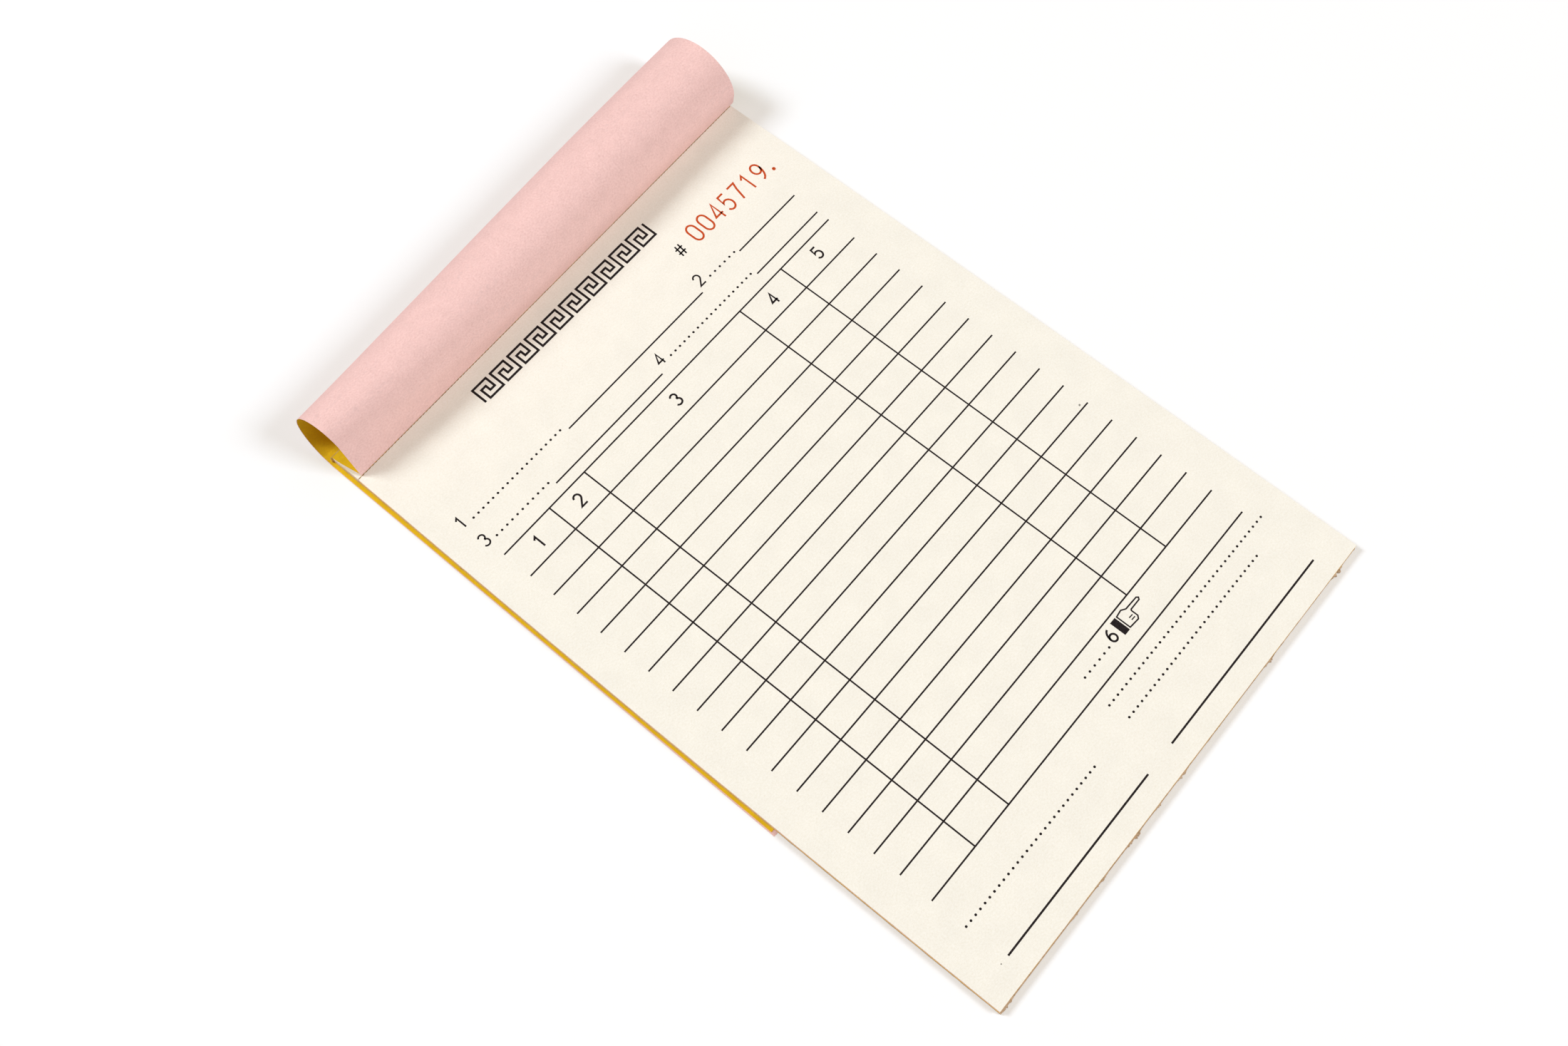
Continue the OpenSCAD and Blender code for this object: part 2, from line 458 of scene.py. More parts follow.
kraftBoard = boardMaterial("chipboard", {
    "colour": (206, 180, 150), "dark": (170, 140, 110), "light": (226, 206, 180),
    "fleck": (128, 102, 80), "layerShape": (0.6, 0.6, 4.0), "layers": (1.6, 6.0, 0.65),
    "layerStops": (0.25, 0.50, 0.75), "flecks": (2.4, 0.35, 0.35), "fleckStrength": 0.6,
    "roughness": 0.92, "gloss": 0.2, "bump": (0.6, 0.08)})


def glueMaterial(name, look):
    # dried padding glue, darker where it is thick
    material, tree, shader = newMaterial(name)
    where = millimetres(tree, onSheet=False)
    thick = noiseNode(tree, where, *look["thick"])
    colour = between(tree, thick, look["range"], fromSrgb(look["dark"]), fromSrgb(look["colour"]))
    tree.links.new(colour, shader.inputs["Base Color"])
    shader.inputs["Roughness"].default_value = look["roughness"]
    tree.links.new(bumpNode(tree, thick, *look["bump"]), shader.inputs["Normal"])
    return material


paddingGlue = glueMaterial("paddingGlue", {
    "colour": (232, 196, 96), "dark": (206, 162, 62), "thick": (0.8, 3.0, 0.5), "range": (0.3, 0.7),
    "roughness": 0.45, "bump": (0.5, 0.1)})


def wireMaterial(name, look):
    # drawn steel, duller in places
    material, tree, shader = newMaterial(name)
    where = millimetres(tree, onSheet=False)
    drawn = noiseNode(tree, where, *look["drawn"])
    colour = between(tree, drawn, look["range"], fromSrgb(look["dark"]), fromSrgb(look["colour"]))
    tree.links.new(colour, shader.inputs["Base Color"])
    low, high = (grey(value) for value in look["roughness"])
    tree.links.new(between(tree, drawn, look["range"], low, high), shader.inputs["Roughness"])
    shader.inputs["Metallic"].default_value = 1.0
    return material


stapleWire = wireMaterial("stapleWire", {
    "colour": (206, 206, 210), "dark": (168, 168, 174), "drawn": (6.0, 2.0, 0.5), "range": (0.3, 0.7),
    "roughness": (0.28, 0.42)})
print("materials made")


# ---- shapes that the sheets share

book = {
    "setCount": 5, "halfWidth": 57.15, "head": 82.55, "perforation": 75.45,
    "perforationSlant": 1.60,  # how far the perforation runs out towards the head on the right
    "cut": 0.15, "sheet": 0.06, "pitch": 0.075,
    "firstSheet": 0.615,  # height of the lowest sheet on the board
    # the trimmed sides: how far they stand out, the height where they do, the distance over which
    # this fades; and the least share of it at the ends
    "sides": {-1: (0.85, -52.0, 110.0), 1: (0.55, 20.0, 105.0)}, "sideLeast": -0.4,
}


def sideAt(side, y):
    # the trimmed side of the pile at one height: -1 is the left side
    reach, peak, fade = book["sides"][side]
    return side * (book["halfWidth"] + reach * max(book["sideLeast"], 1 - ((y - peak) / fade) ** 2))


def perforationAt(x):
    # how far up the page the perforation runs, at one place across it
    return book["perforation"] + book["perforationSlant"] * (x / book["halfWidth"] + 1) / 2


def roughEdge(start, end, step, amount, seed, teeth=0.0, pitch=0.9):
    # points along an edge, pushed to the left of its way by paper roughness and perforation teeth
    start, end = Vector(start), Vector(end)
    length = (end - start).length
    way = (end - start) / length
    side = Vector((-way.y, way.x))
    count = max(2, int(length / step))
    points = []
    for i in range(count):
        along = length * i / count
        ends = min(1.0, along / 2, (length - along) / 2)
        push = amount * noise.noise(Vector((along * 0.9, seed * 7.31, 0.5)))
        push += amount * 0.6 * noise.noise(Vector((along * 3.7, seed * 3.17, 9.5)))
        if teeth:
            push += teeth * (1 if (along / pitch) % 1 < 0.45 else 0)
        points.append(start + way * along + side * push * ends)
    return points


def roughPath(corners, step, amount, seed):
    # rough edges from corner to corner
    points = []
    for k, (start, end) in enumerate(zip(corners, corners[1:])):
        points += roughEdge(start, end, step, amount, seed + 0.37 * k)
    return points


def addPrism(points, faces, outline, bottom, top):
    # an outline drawn up from its bottom to its top, closed all round
    start, count = len(points), len(outline)
    points += [(p[0], p[1], top) for p in outline] + [(p[0], p[1], bottom) for p in outline]
    faces.append(tuple(range(start, start + count)))
    faces.append(tuple(range(start + 2 * count - 1, start + count - 1, -1)))
    for i in range(count):
        j = (i + 1) % count
        faces.append((start + i, start + count + i, start + count + j, start + j))


def sheetSolid(name, outlines, material, rim=0.2):
    # thin flat sheets in one piece, with the page as their map and a rim's width on it for the edges
    points, faces, uvs = [], [], []
    for outline, bottom, top in outlines:
        addPrism(points, faces, outline, bottom, top)
        uvs += [(p.x, p.y) for p in outline] + [(p.x, p.y + rim) for p in outline]
    sheet = meshFrom(name, points, faces, uvs)
    sheet.data.materials.append(material)
    return sheet


def closedGrid(name, rows, columns, place, mapAt, material):
    # a bent or uneven sheet, closed all round: place(row, column, face) gives a point of a face
    points, uvs, faces = [], [], []
    for face in (0, 1):
        for i in range(rows + 1):
            for j in range(columns + 1):
                points.append(place(i, j, face))
                uvs.append(mapAt(i, j))
    row, layer = columns + 1, (columns + 1) * (rows + 1)

    def at(face, i, j):
        return face * layer + i * row + j

    for i in range(rows):
        for j in range(columns):
            faces.append((at(0, i, j), at(0, i + 1, j), at(0, i + 1, j + 1), at(0, i, j + 1)))
            faces.append((at(1, i, j), at(1, i, j + 1), at(1, i + 1, j + 1), at(1, i + 1, j)))
        for j in (0, columns):
            faces.append((at(0, i, j), at(1, i, j), at(1, i + 1, j), at(0, i + 1, j)))
    for j in range(columns):
        for i in (0, rows):
            faces.append((at(0, i, j), at(1, i, j), at(1, i, j + 1), at(0, i, j + 1)))
    grid = meshFrom(name, points, faces, uvs)
    grid.data.materials.append(material)
    return grid


# ---- flat leaves and the board

leafLook = {
    "sideRoughness": 0.02, "footRoughness": 0.02, "perforationRoughness": 0.02,
    "teeth": 0.10, "toothPitch": 0.9,
    "spread": 0.03,  # how far leaves lie out of line
    "tiltOver": 160,  # the length over which a leaf's tilt builds up
    "bendStart": 75.40, "bendEnd": 72.60,  # where the top leaf bends when it lifts
    "bendRows": 14, "flatRows": 46, "crowding": 1.35,  # the top leaf's rows crowd to the foot
    "sidePoints": 13, "sideStep": 1.6, "footStep": 0.6,
}
leafLook["toothStep"] = leafLook["toothPitch"] / 4
stubLook = {
    "copyInset": 1.15,  # the open set's stubs stand in from the left at the perforation
    "insetCurve": 1.4, "sideSteps": 6, "teeth": 0.05,
}
paperOf = {"white": whiteSheet, "yellow": yellowSheet, "pink": pinkSheet}
draw = random.Random(11)


def topLeaf(node, material):
    # the printed leaf, fine enough near the perforation to bend as it lifts
    low, high = (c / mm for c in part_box(node))
    columns = round((high.x - low.x) / (leafLook["toothPitch"] / 2))
    across = [low.x + (high.x - low.x) * j / columns for j in range(columns + 1)]
    bendRows, flatRows, bendEnd = (leafLook[key] for key in ("bendRows", "flatRows", "bendEnd"))

    def place(i, j, face):
        x = across[j]
        head = perforationAt(x) - book["cut"]
        if i <= bendRows:
            y = head + (bendEnd - head) * i / bendRows
            if i == 0:
                y -= leafLook["teeth"] * (j % 2)
        else:
            share = (i - bendRows) / flatRows
            y = bendEnd + (low.y - bendEnd) * (1 - (1 - share) ** leafLook["crowding"])
            if i == bendRows + flatRows:
                coarse = noise.noise(Vector((x * 0.8, 3.1, 0.2)))
                fine = noise.noise(Vector((x * 3.1, 7.7, 0.4)))
                y += leafLook["footRoughness"] * (coarse + 0.6 * fine)
        x = sideAt(-1, y) + (sideAt(1, y) - sideAt(-1, y)) * j / columns
        if j in (0, columns):
            x += leafLook["sideRoughness"] * noise.noise(Vector((y * 0.7, j * 0.31, 5.5)))
        return (x, y, high.z if face == 0 else low.z)

    leaf = closedGrid("whiteLeaf1", bendRows + flatRows, columns, place,
                      lambda i, j: place(i, j, 0)[:2], material)
    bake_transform(leaf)
    return leaf


def lowerLeaf(name, low, high, seed, shift, tilt, material):
    # a leaf that slides away when torn, trimmed at the sides and foot and torn at the perforation
    look = leafLook

    def sidePoint(side, head, y):
        return (sideAt(side, y) + shift[0] + tilt * (head - y) / look["tiltOver"], y)

    heads = (perforationAt(low.x) - book["cut"], perforationAt(high.x) - book["cut"])
    foot = low.y + shift[1]
    left = [sidePoint(-1, heads[0], y) for y in np.linspace(heads[0], foot, look["sidePoints"])]
    rightSide = [sidePoint(1, heads[1], y) for y in np.linspace(foot, heads[1], look["sidePoints"])]
    outline = roughPath(left, look["sideStep"], look["sideRoughness"], seed)
    outline += roughPath([left[-1], rightSide[0]], look["footStep"], look["footRoughness"], seed + 1)
    outline += roughPath(rightSide, look["sideStep"], look["sideRoughness"], seed + 2)
    outline += roughEdge(
        rightSide[-1], left[0], look["toothStep"], look["perforationRoughness"], seed + 3,
        look["teeth"], look["toothPitch"])
    return sheetSolid(name, [(outline, low.z, high.z)], material)


for setNumber in range(1, book["setCount"] + 1):
    for colourName in ("white", "yellow", "pink"):
        node = f"{colourName}_leaf_{setNumber}"
        low, high = (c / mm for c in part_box(node))
        seed = draw.random() * 50
        slack = leafLook["spread"]
        shift = (draw.uniform(-slack, slack), draw.uniform(-slack, 0.2 * slack))
        tilt = draw.uniform(-slack, slack) * 0.8
        if node == "white_leaf_1":
            leaf = topLeaf(node, paperOf[colourName])
        else:
            name = f"{colourName}Leaf{setNumber}"
            leaf = lowerLeaf(name, low, high, seed, shift, tilt, paperOf[colourName])
            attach(leaf, node)
        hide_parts(node)
print("leaves made")

# the stubs: each colour's sheets between the perforation and the head, counted up from the board
openSet = 3 * book["setCount"]
stubLevels = {
    "pink": [*range(0, openSet, 3), openSet],
    "yellow": [*range(1, openSet, 3), openSet + 1],
    "white": [*range(2, openSet, 3)],
}
for colourName, levels in stubLevels.items():
    outlines = []
    for level in levels:
        seed = 60 + level * 1.7
        head = book["head"]
        inset = stubLook["copyInset"] if level >= openSet else 0.0
        left, rightSide = sideAt(-1, book["perforation"]), sideAt(1, book["perforation"])
        corner = Vector((rightSide, perforationAt(rightSide)))
        outline = roughEdge(
            (left + inset, perforationAt(left)), corner, leafLook["toothStep"],
            leafLook["perforationRoughness"], seed, -stubLook["teeth"], leafLook["toothPitch"])
        outline += [corner, Vector((sideAt(1, head), head))]
        for k in range(stubLook["sideSteps"]):
            # the slanted left side bows towards the head
            share = k / stubLook["sideSteps"]
            y = head + (perforationAt(left) - head) * share
            outline.append(Vector((sideAt(-1, y) + inset * share ** stubLook["insetCurve"], y)))
        bottom = book["firstSheet"] + level * book["pitch"]
        outlines.append((outline, bottom, bottom + book["sheet"]))
    stubs = sheetSolid(f"{colourName}Stubs", outlines, paperOf[colourName])
    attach(stubs, "book_block")
    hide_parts(f"{colourName}_stubs")

boardLook = {
    "sideRoughness": 0.05, "sideStep": 1.0, "sidePoints": 13, "headStep": 2.0, "headRoughness": 0.02,
    # the cut foot stands out from under the leaves, more on the left
    "footReach": (0.28, 0.12), "footStep": 0.25, "footRoughness": 0.03, "rightInset": 0.1,
    # crumbs of pulp, only where the patches are thickest
    "crumb": 2.42, "crumbShare": 0.12,
}


def boardFoot(start, end, step):
    # the cut foot edge of the board, with loose crumbs of pulp here and there
    points = []
    count = int(abs(end[0] - start[0]) / step)
    for i in range(count):
        x = start[0] + (end[0] - start[0]) * i / count
        y = start[1] + (end[1] - start[1]) * i / count
        patch = noise.noise(Vector((x * 0.21, 8.8, 1.1)))
        crumb = max(0.0, patch - boardLook["crumbShare"]) * boardLook["crumb"]
        push = crumb * abs(noise.noise(Vector((x * 2.3, 4.4, 6.1))))
        push += boardLook["footRoughness"] * noise.noise(Vector((x * 5.0, 2.1, 3.3)))
        points.append(Vector((x, y - push)))
    return points


low, high = (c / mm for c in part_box("backing_board"))
feet = [low.y - reach for reach in boardLook["footReach"]]
left = [(sideAt(-1, y), y) for y in np.linspace(high.y, feet[0], boardLook["sidePoints"])]
rightSide = [(sideAt(1, y) - boardLook["rightInset"], y)
             for y in np.linspace(feet[1], high.y, boardLook["sidePoints"])]
outline = roughPath(left, boardLook["sideStep"], boardLook["sideRoughness"], 3)
outline += boardFoot(left[-1], rightSide[0], boardLook["footStep"])
outline += roughPath(rightSide, boardLook["sideStep"], boardLook["sideRoughness"], 5)
outline += roughEdge(rightSide[-1], left[0], boardLook["headStep"], boardLook["headRoughness"], 6)
board = sheetSolid("backingBoard", [(outline, low.z, high.z)], kraftBoard)
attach(board, "book_block")
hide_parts("backing_board")

bindings = {"head_glue": paddingGlue, "staple_left": stapleWire, "staple_right": stapleWire}
for node, material in bindings.items():
    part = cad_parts[node]
    part.data.materials.clear()
    part.data.materials.append(material)
print("board and binding made")


# ---- the two folded copies

folds = {
    "creaseZ": 1.8075, "rise": 4.21, "loopRadius": 8.7, "turnRadius": 5.95, "creaseRadius": 0.08,
    "tail": 117.0, "pageWidth": 114.3, "tailDrop": 1.74,  # height of the crease above the tails
    "innerFace": 0.0075, "outerFace": 0.0675,  # a sheet's faces, from the surface between the sheets
    "insetAtCrease": 1.25, "insetAtTurn": -0.50, "insetAtEnd": -1.50,
    # where each tail ends, and how far the pink copy stands out to the left at the crease and its end
    "tailEnd": {"pink": -32.2, "yellow": -31.3}, "pinkOut": (0.02, 0.28),
    # soft unevenness of the loop: its height, and where it starts, fades in, fades out and stops
    "wave": 0.10, "waveStart": 3, "waveIn": 5, "waveOut": 6, "waveStop": 4,
    "cutSearch": 7.0, "cutRounds": 30,  # how far and how finely a cut across the sheet is looked for
    "columns": 72, "bendStep": 0.28, "tailStep": 2.0, "blendMargin": 0.02,
    "mapShift": 200,  # moves the folded sheets' map off the flat leaves'
    # the loop grows from left to right: share of the width, radius, centre behind and above the crease
    "stations": [
        (0.00, 5.70, 8.55, 6.10), (0.15, 7.05, 8.20, 5.30), (0.30, 8.00, 8.15, 4.70),
        (0.50, 8.60, 8.75, 4.25), (0.75, 9.05, 9.55, 4.05), (1.00, 9.12, 10.19, 4.00),
    ],
}

stationShare, *stationValues = zip(*folds["stations"])
stationCurves = [np.polyfit(stationShare, values, 3) for values in stationValues]
quarterLoop = math.pi / 2 * folds["loopRadius"]
quarterTurn = math.pi / 2 * folds["turnRadius"]
loopEnd = folds["rise"] + 2 * quarterLoop
turnEnd = loopEnd + quarterTurn
sheetEnd = turnEnd + folds["tail"]
sections = {}


def sectionAt(x):
    # the loop's own radius, centre and crease at one place across the page
    if x not in sections:
        share = x / folds["pageWidth"] + 0.5
        radius, centreY, centreZ = (float(np.polyval(curve, share)) for curve in stationCurves)
        crease = book["perforationSlant"] * share
        start = Vector((crease - folds["creaseRadius"], folds["creaseRadius"]))
        toCentre = Vector((centreY, centreZ)) - start
        if toCentre.length > radius:
            angle = math.atan2(toCentre.y, toCentre.x) + math.asin(radius / toCentre.length)
            wall = math.sqrt(toCentre.length ** 2 - radius ** 2)
            touch = start + wall * Vector((math.cos(angle), math.sin(angle)))
        else:
            touch = start
        touchAngle = math.atan2(touch.y - centreZ, touch.x - centreY) % (2 * math.pi)
        sections[x] = (crease, radius, Vector((centreY, centreZ)), start, touch, touchAngle)
    return sections[x]


def foldPath(x, s, colourName="yellow"):
    # a point of the surface between the sheets, s millimetres along the plain loop
    crease, radius, centre, start, touch, touchAngle = sectionAt(x)
    small = folds["creaseRadius"]
    bendLength = small * math.pi / 2
    if s < bendLength:
        angle = math.radians(270) - s / small
        return Vector((crease + small * math.cos(angle), small + small * math.sin(angle)))
    touchLength = folds["rise"] + (math.pi - touchAngle) * folds["loopRadius"]
    if s < touchLength:
        return start.lerp(touch, (s - bendLength) / (touchLength - bendLength))
    if s < loopEnd:
        angle = math.pi - (s - folds["rise"]) / folds["loopRadius"]
        return centre + radius * Vector((math.cos(angle), math.sin(angle)))
    turnRadius = centre.y + folds["tailDrop"]
    turnCentre = centre + Vector((radius - turnRadius, 0))
    if s < turnEnd:
        angle = -(s - loopEnd) / folds["turnRadius"]
        return turnCentre + turnRadius * Vector((math.cos(angle), math.sin(angle)))
    share = (s - turnEnd) / folds["tail"]
    end = folds["tailEnd"][colourName] - book["perforation"]
    return Vector((turnCentre.x + (end - turnCentre.x) * share, -folds["tailDrop"]))


def leftInset(s):
    # how far the folded sheets stand in from the left edge of the page
    crease, turned, end = (folds[key] for key in ("insetAtCrease", "insetAtTurn", "insetAtEnd"))
    if s <= turnEnd:
        return crease + (turned - crease) * max(0.0, s) / turnEnd
    return turned + (end - turned) * (s - turnEnd) / folds["tail"]


def unevenness(x, s):
    # none at the crease or on the table, where the sheets lie close
    fadeIn = (s - folds["waveStart"]) / folds["waveIn"]
    fadeOut = (turnEnd - folds["waveStop"] - s) / folds["waveOut"]
    fade = max(0.0, min(1.0, fadeIn, fadeOut))
    return folds["wave"] * fade * noise.noise(Vector((x * 0.045, s * 0.09, 4.2)))


def foldPoint(x, s, out):
    # a point of a sheet's face, out from the surface between the sheets: pink lies outside
    step = 0.02
    colourName = "pink" if out > 0 else "yellow"
    place = foldPath(x, s, colourName)
    way = (foldPath(x, min(sheetEnd, s + step)) - foldPath(x, max(0.0, s - step))).normalized()
    place = place + Vector((-way.y, way.x)) * (out + unevenness(x, s))
    near, far = folds["pinkOut"]
    shift = near + (far - near) * s / sheetEnd if out > 0 else 0.0
    return (x + leftInset(s) - shift, book["perforation"] + place.x, folds["creaseZ"] + place.y)


loopFold = quarterLoop / 2
turnFold = quarterTurn / 2
bendPlaces = [folds["rise"] + 2 * loopFold + loopFold * k for k in range(3)]
bendPlaces += [loopEnd + turnFold, turnEnd]
halves = [loopFold / 2] * 3 + [turnFold / 2] * 3
# the sheets are cut midway between the solids' hinges: each cut is a plane across the solids' path
cutLengths = [bendPlaces[0] - halves[0]] + [place + half for place, half in zip(bendPlaces, halves[1:])]


def solidPath(s):
    # place and direction of the solids' path, from the crease
    if s < loopEnd:
        radius = centre = folds["loopRadius"]
        angle = math.pi - (s - folds["rise"]) / radius
    else:
        radius, centre = folds["turnRadius"], 2 * folds["loopRadius"] - folds["turnRadius"]
        angle = -min(s - loopEnd, 2 * turnFold) / folds["turnRadius"]
    place = Vector((centre + radius * math.cos(angle), folds["rise"] + radius * math.sin(angle)))
    way = Vector((math.sin(angle), -math.cos(angle)))
    return place + way * max(0.0, s - turnEnd), way


def cutLength(x, k):
    # where the sheet crosses cut k
    if k < 0:
        return 0.0
    if k >= len(cutLengths):
        return sheetEnd
    place, way = solidPath(cutLengths[k])
    low, high = cutLengths[k] - folds["cutSearch"], cutLengths[k] + folds["cutSearch"]
    for i in range(folds["cutRounds"]):
        middle = (low + high) / 2
        if (foldPath(x, middle) - place).dot(way) < 0:
            low = middle
        else:
            high = middle
    return (low + high) / 2


columns = folds["columns"]
acrossSheet = [folds["pageWidth"] * (j / columns - 0.5) for j in range(columns + 1)]
cutTable = [[cutLength(x, k) for x in acrossSheet] for k in range(-1, len(cutLengths) + 1)]


def foldStrip(name, k, sign, material):
    # the length of a folded sheet before cut k, with its own width and length as its map
    firsts, lasts = cutTable[k], cutTable[k + 1]
    longest = max(last - first for first, last in zip(firsts, lasts))
    steps = math.ceil(longest / folds["bendStep" if k < len(cutLengths) else "tailStep"])
    reach = (folds["outerFace"], folds["innerFace"])

    def lengthAt(i, j):
        return firsts[j] + (lasts[j] - firsts[j]) * i / steps

    return closedGrid(
        name, steps, folds["columns"],
        lambda i, j, face: foldPoint(acrossSheet[j], lengthAt(i, j), sign * reach[face]),
        lambda i, j: (acrossSheet[j] + folds["mapShift"], lengthAt(i, j)),
        material)


def blendEnds(k):
    # the bend's blend lies wholly between its two cuts, everywhere across the sheet
    origin, tip = (Vector((0, book["perforation"] + place.x, folds["creaseZ"] + place.y))
                   for place in (solidPath(cutLengths[k])[0], solidPath(cutLengths[k + 1])[0]))
    way = (tip - origin).normalized()

    def reaches(cut):
        return [way.dot(Vector(foldPoint(x, length, out)) - origin)
                for x, length in zip(acrossSheet, cutTable[cut + 1])
                for out in (folds["outerFace"], -folds["outerFace"])]

    margin = folds["blendMargin"]
    near, far = max(reaches(k)) + margin, min(reaches(k + 1)) - margin
    print(f"bend {k + 1} blends over {far - near:.2f} mm")
    return [origin + way * near, origin + way * far]


bendEnds = [blendEnds(k) for k in range(len(bendPlaces))]

for colourName, sign, material in (("pink", 1, pinkSheet), ("yellow", -1, yellowSheet)):
    rise = foldStrip(f"{colourName}CopyRise", 0, sign, material)
    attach(rise, "book_block")
    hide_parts(f"{colourName}_copy_rise")
    for k, (start, end) in enumerate(bendEnds):
        bend = foldStrip(f"{colourName}CopyBend{k + 1}", k + 1, sign, material)
        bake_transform(bend)
        if k + 1 < len(bendEnds):
            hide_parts(f"{colourName}_copy_fold_{k + 1}")
    tail = foldStrip(f"{colourName}CopyTail", len(cutLengths), sign, material)
    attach(tail, "copies_tail")
    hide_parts(f"{colourName}_copy_tail")
print("folded copies made")


# ---- the printed form on the top leaf

form = {
    "columns": [-50.2, -37.4, -27.3, 20.0, 33.1, 48.8],
    "headTop": 42.62, "headBottom": 35.73, "rowPitch": 6.0, "rowCount": 15, "lastRow": -61.5,
    "line": 0.33, "signLine": 0.40,
    "lift": 0.001, "film": 0.009,  # the film of ink lies between these heights on the sheet
    "fieldLines": [  # from left to right, and their height
        (-22.2, 18.5, 51.3), (30.9, 48.8, 51.9), (-32.6, -1.0, 45.2), (29.1, 48.7, 45.6)],
    "signLines": [(-49.2, -6.3, -77.8), (1.3, 49.2, -77.8)],
}
keyBand = {"left": -28.4, "bottom": 67.9, "grid": 1.28, "stroke": 0.50, "turns": 10}
figureRows = [
    # colour, figures, place, height, pitch, stroke, how far the row climbs, width
    ("black", "#", (22.2, 59.7), 3.4, 2.0, 0.34, 0.0, 1.0),
    ("red", "0045719.", (27.3, 59.75), 4.3, 3.35, 0.44, -0.55, 0.86),
    ("black", "1", (-51.4, 52.3), 2.7, 2.0, 0.36, 0.0, 1.0),
    ("black", "2", (19.4, 52.5), 2.7, 2.0, 0.36, 0.0, 1.0),
    ("black", "3", (-51.2, 46.3), 2.7, 2.0, 0.36, 0.0, 1.0),
    ("black", "4", (0.2, 46.5), 2.7, 2.0, 0.36, 0.0, 1.0),
    ("black", "6", (10.6, -58.2), 2.7, 2.0, 0.42, 0.0, 1.0),
]
columnFigures = {"height": 2.8, "stroke": 0.42, "halfWidth": 0.75, "bottom": 37.9}
dots = {
    "pitch": 1.35, "radius": 0.27,
    "rows": [
        ((-48.3, 52.5), (-23.6, 52.4)), ((22.5, 52.7), (30.0, 52.6)), ((-48.1, 46.5), (-33.6, 46.4)),
        ((3.3, 46.7), (28.2, 46.6)), ((1.4, -57.9), (9.2, -57.9)), ((-0.1, -64.6), (50.2, -64.9)),
        ((0.4, -68.8), (42.8, -68.9)), ((-49.9, -69.0), (-11.5, -69.4)),
    ],
}
hand = {"place": (13.2, -58.9), "stroke": 0.30, "fingerStroke": 0.24}
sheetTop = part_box("white_leaf_1")[1].z / mm
inkBottom, inkTop = sheetTop + form["lift"], sheetTop + form["film"]
inkPieces = {"black": ([], []), "red": ([], [])}


def addInk(colourName, outline):
    # a flat shape of ink, laid on the sheet as a thin closed film
    addPrism(*inkPieces[colourName], outline, inkBottom, inkTop)


def addStroke(colourName, path, width, closed=False):
    # a pen-like line of even width along a path, in one piece
    path = [Vector(p) for p in path]
    count = len(path)
    left, rightSide = [], []
    for i, point in enumerate(path):
        before = path[i - 1] if closed or i > 0 else None
        after = path[(i + 1) % count] if closed or i < count - 1 else None
        first = (point - before).normalized() if before is not None else None
        second = (after - point).normalized() if after is not None else None
        first = first or second
        second = second or first
        way = first + second
        way = way.normalized() if way.length > 1e-6 else first
        across = Vector((-way.y, way.x))
        # corners are mitred, but not to long points
        stretch = 1 / max(0.45, abs(across.dot(Vector((-first.y, first.x)))))
        left.append(point + across * width / 2 * stretch)
        rightSide.append(point - across * width / 2 * stretch)
    points, faces = inkPieces[colourName]
    start = len(points)
    for height in (inkTop, inkBottom):
        for side in (left, rightSide):
            points.extend((p.x, p.y, height) for p in side)
    topLeft, topRight, lowLeft, lowRight = (start + k * count for k in range(4))
    for i in range(count if closed else count - 1):
        j = (i + 1) % count
        faces.append((topLeft + i, topRight + i, topRight + j, topLeft + j))
        faces.append((lowLeft + j, lowRight + j, lowRight + i, lowLeft + i))
        faces.append((topLeft + j, lowLeft + j, lowLeft + i, topLeft + i))
        faces.append((topRight + i, lowRight + i, lowRight + j, topRight + j))
    if not closed:
        last = count - 1
        faces.append((topLeft, lowLeft, lowRight, topRight))
        faces.append((topRight + last, lowRight + last, lowLeft + last, topLeft + last))


def arcPath(centre, reach, fromAngle, toAngle, steps=14):
    path = []
    for i in range(steps + 1):
        angle = math.radians(fromAngle + (toAngle - fromAngle) * i / steps)
        path.append((centre[0] + reach[0] * math.cos(angle), centre[1] + reach[1] * math.sin(angle)))
    return path


def ring(centre, reach, steps):
    return arcPath(centre, reach, 90, 450, steps)[:-1]


# the strokes of plain figures, in a box 0.56 wide and 1 high: each a path, and whether it closes
figures = {
    "0": [(arcPath((0.28, 0.70), (0.28, 0.30), 0, 180)
           + arcPath((0.28, 0.30), (0.28, 0.30), 180, 360), True)],
    "1": [([(0.08, 0.80), (0.30, 1.0), (0.30, 0.0)], False)],
    "2": [(arcPath((0.28, 0.71), (0.27, 0.29), 165, -38) + [(0.01, 0.0), (0.56, 0.0)], False)],
    "3": [(arcPath((0.27, 0.76), (0.25, 0.24), 155, -78), False),
          (arcPath((0.27, 0.265), (0.28, 0.265), 80, -155), False)],
    "4": [([(0.43, 0.0), (0.43, 1.0), (0.0, 0.29), (0.57, 0.29)], False)],
    "5": [([(0.52, 1.0), (0.11, 1.0), (0.05, 0.53)]
           + arcPath((0.26, 0.32), (0.29, 0.32), 128, -150), False)],
    "6": [(ring((0.28, 0.30), (0.27, 0.30), 22), True),
          (arcPath((0.50, 0.30), (0.49, 0.70), 180, 98, 10), False)],
    "7": [([(0.0, 1.0), (0.55, 1.0), (0.40, 0.66), (0.22, 0.0)], False)],
    "8": [(ring((0.28, 0.76), (0.23, 0.24), 20), True), (ring((0.28, 0.26), (0.28, 0.26), 22), True)],
    "#": [([(0.12, 0.08), (0.22, 0.92)], False), ([(0.38, 0.08), (0.48, 0.92)], False),
          ([(0.0, 0.34), (0.58, 0.34)], False), ([(0.02, 0.66), (0.60, 0.66)], False)],
    ".": [(arcPath((0.10, 0.06), (0.05, 0.05), 0, 360, 8)[:-1], True)],
}
figures["9"] = [([(0.56 - x, 1 - y) for x, y in path], closed) for path, closed in figures["6"]]


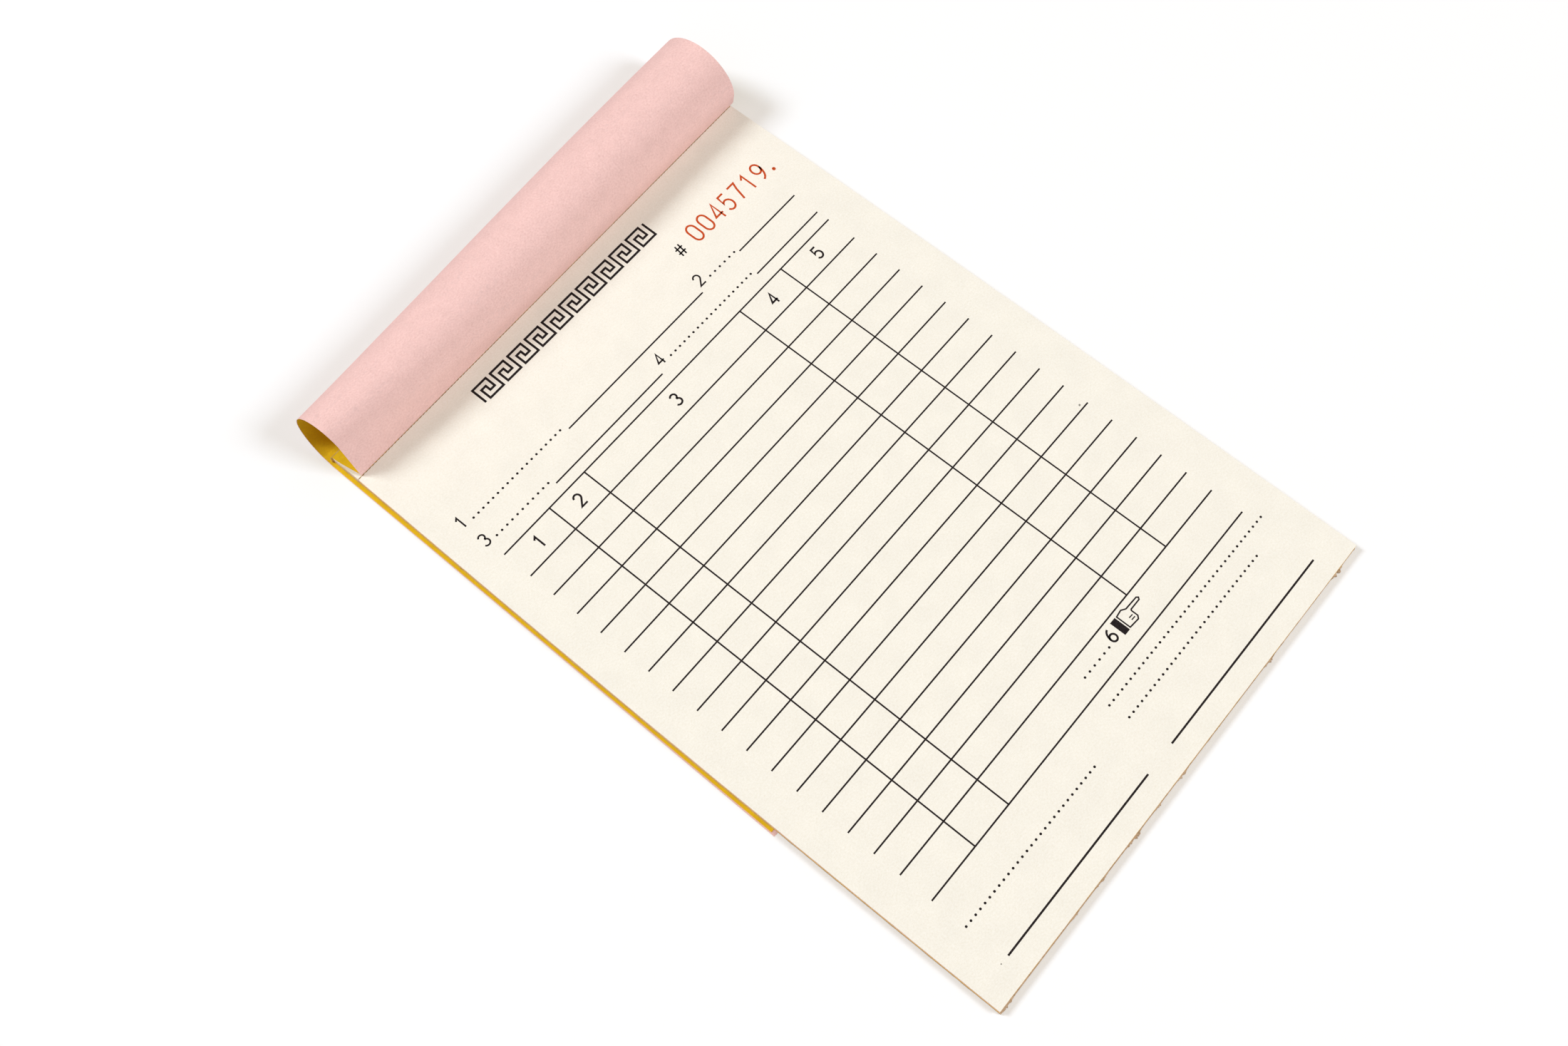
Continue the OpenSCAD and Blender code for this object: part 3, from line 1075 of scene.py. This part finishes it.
def printFigures(colourName, row, start, height, pitch, stroke, rise=0.0, width=1.0):
    for k, figure in enumerate(row):
        x = start[0] + pitch * k
        y = start[1] + rise * k / max(1, len(row) - 1)
        for path, closed in figures[figure]:
            points = [(x + px * height * width, y + py * height) for px, py in path]
            addStroke(colourName, points, stroke, closed)


def printDots(start, end):
    count = int((end[0] - start[0]) / dots["pitch"])
    corners = arcPath((0, 0), (dots["radius"], dots["radius"]), 0, 360, 8)[:-1]
    for k in range(count + 1):
        share = k / max(1, count)
        x = start[0] + (end[0] - start[0]) * share
        y = start[1] + (end[1] - start[1]) * share
        addInk("black", [(x + cx, y + cy) for cx, cy in corners])


# ruled form
columns = form["columns"]
rows = [form["headTop"], form["headBottom"]]
rows += [form["headBottom"] - form["rowPitch"] * (i + 1) for i in range(form["rowCount"])]
rows.append(form["lastRow"])
for y in rows:
    addStroke("black", [(columns[0], y), (columns[5], y)], form["line"])
for x, bottom in zip(columns[1:5], (rows[-1], rows[-1], rows[-2], rows[-2])):
    # the uprights stop short of each cross line, so that no ink lies twice
    for upper, lower in zip(rows, rows[1:]):
        if lower >= bottom - 0.01:
            ends = [(x, upper - form["line"] / 2), (x, lower + form["line"] / 2)]
            addStroke("black", ends, form["line"])
for kind, stroke in (("fieldLines", form["line"]), ("signLines", form["signLine"])):
    for left, rightEnd, y in form[kind]:
        addStroke("black", [(left, y), (rightEnd, y)], stroke)

# heading: a running key pattern, each turn four steps of its grid wide
grid = keyBand["grid"]
keyTurn = ((0, 0), (0, 3), (3, 3), (3, 1), (2, 1), (2, 2), (1, 2), (1, 0))
keySteps = [(4 * k + across, rise) for k in range(keyBand["turns"]) for across, rise in keyTurn]
keySteps += [(4 * keyBand["turns"], 0), (4 * keyBand["turns"], 3)]
keyX, keyY = keyBand["left"], keyBand["bottom"]
keyPath = [(keyX + across * grid, keyY + rise * grid) for across, rise in keySteps]
addStroke("black", keyPath, keyBand["stroke"])

# plain figures and dotted lines in place of words
for row in figureRows:
    printFigures(*row)
for figure, left, rightEnd in zip("12345", columns, columns[1:]):
    place = ((left + rightEnd) / 2 - columnFigures["halfWidth"], columnFigures["bottom"])
    printFigures("black", figure, place, columnFigures["height"], 0, columnFigures["stroke"])
for start, end in dots["rows"]:
    printDots(start, end)

# a plain pointing hand before the total: a black cuff, the outline and two bent fingers
handOutline = [
    (1.9, 0.3), (4.3, 0.1), (4.8, 0.6), (4.8, 2.1), (5.0, 2.3), (7.6, 2.3), (7.9, 2.65), (7.6, 3.0),
    (4.4, 3.1), (3.5, 3.7), (1.9, 3.5)]
handStrokes = [
    (handOutline, hand["stroke"], True),
    ([(3.3, 0.95), (4.3, 0.90)], hand["fingerStroke"], False),
    ([(3.3, 1.55), (4.3, 1.50)], hand["fingerStroke"], False),
]
handX, handY = hand["place"]
addInk("black", [(handX + x, handY + y) for x, y in ((0, 0.1), (1.5, 0.1), (1.5, 3.7), (0, 3.7))])
for path, stroke, closed in handStrokes:
    addStroke("black", [(handX + x, handY + y) for x, y in path], stroke, closed)

for colourName, material in (("black", blackInk), ("red", redInk)):
    points, faces = inkPieces[colourName]
    printed = meshFrom(f"{colourName}Print", points, faces)
    printed.data.materials.append(material)
    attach(printed, "white_leaf_1")
print("form printed")


low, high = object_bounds()
{"cad": [list(cadLow), list(cadHigh)], "visual": [list(low), list(high)]}
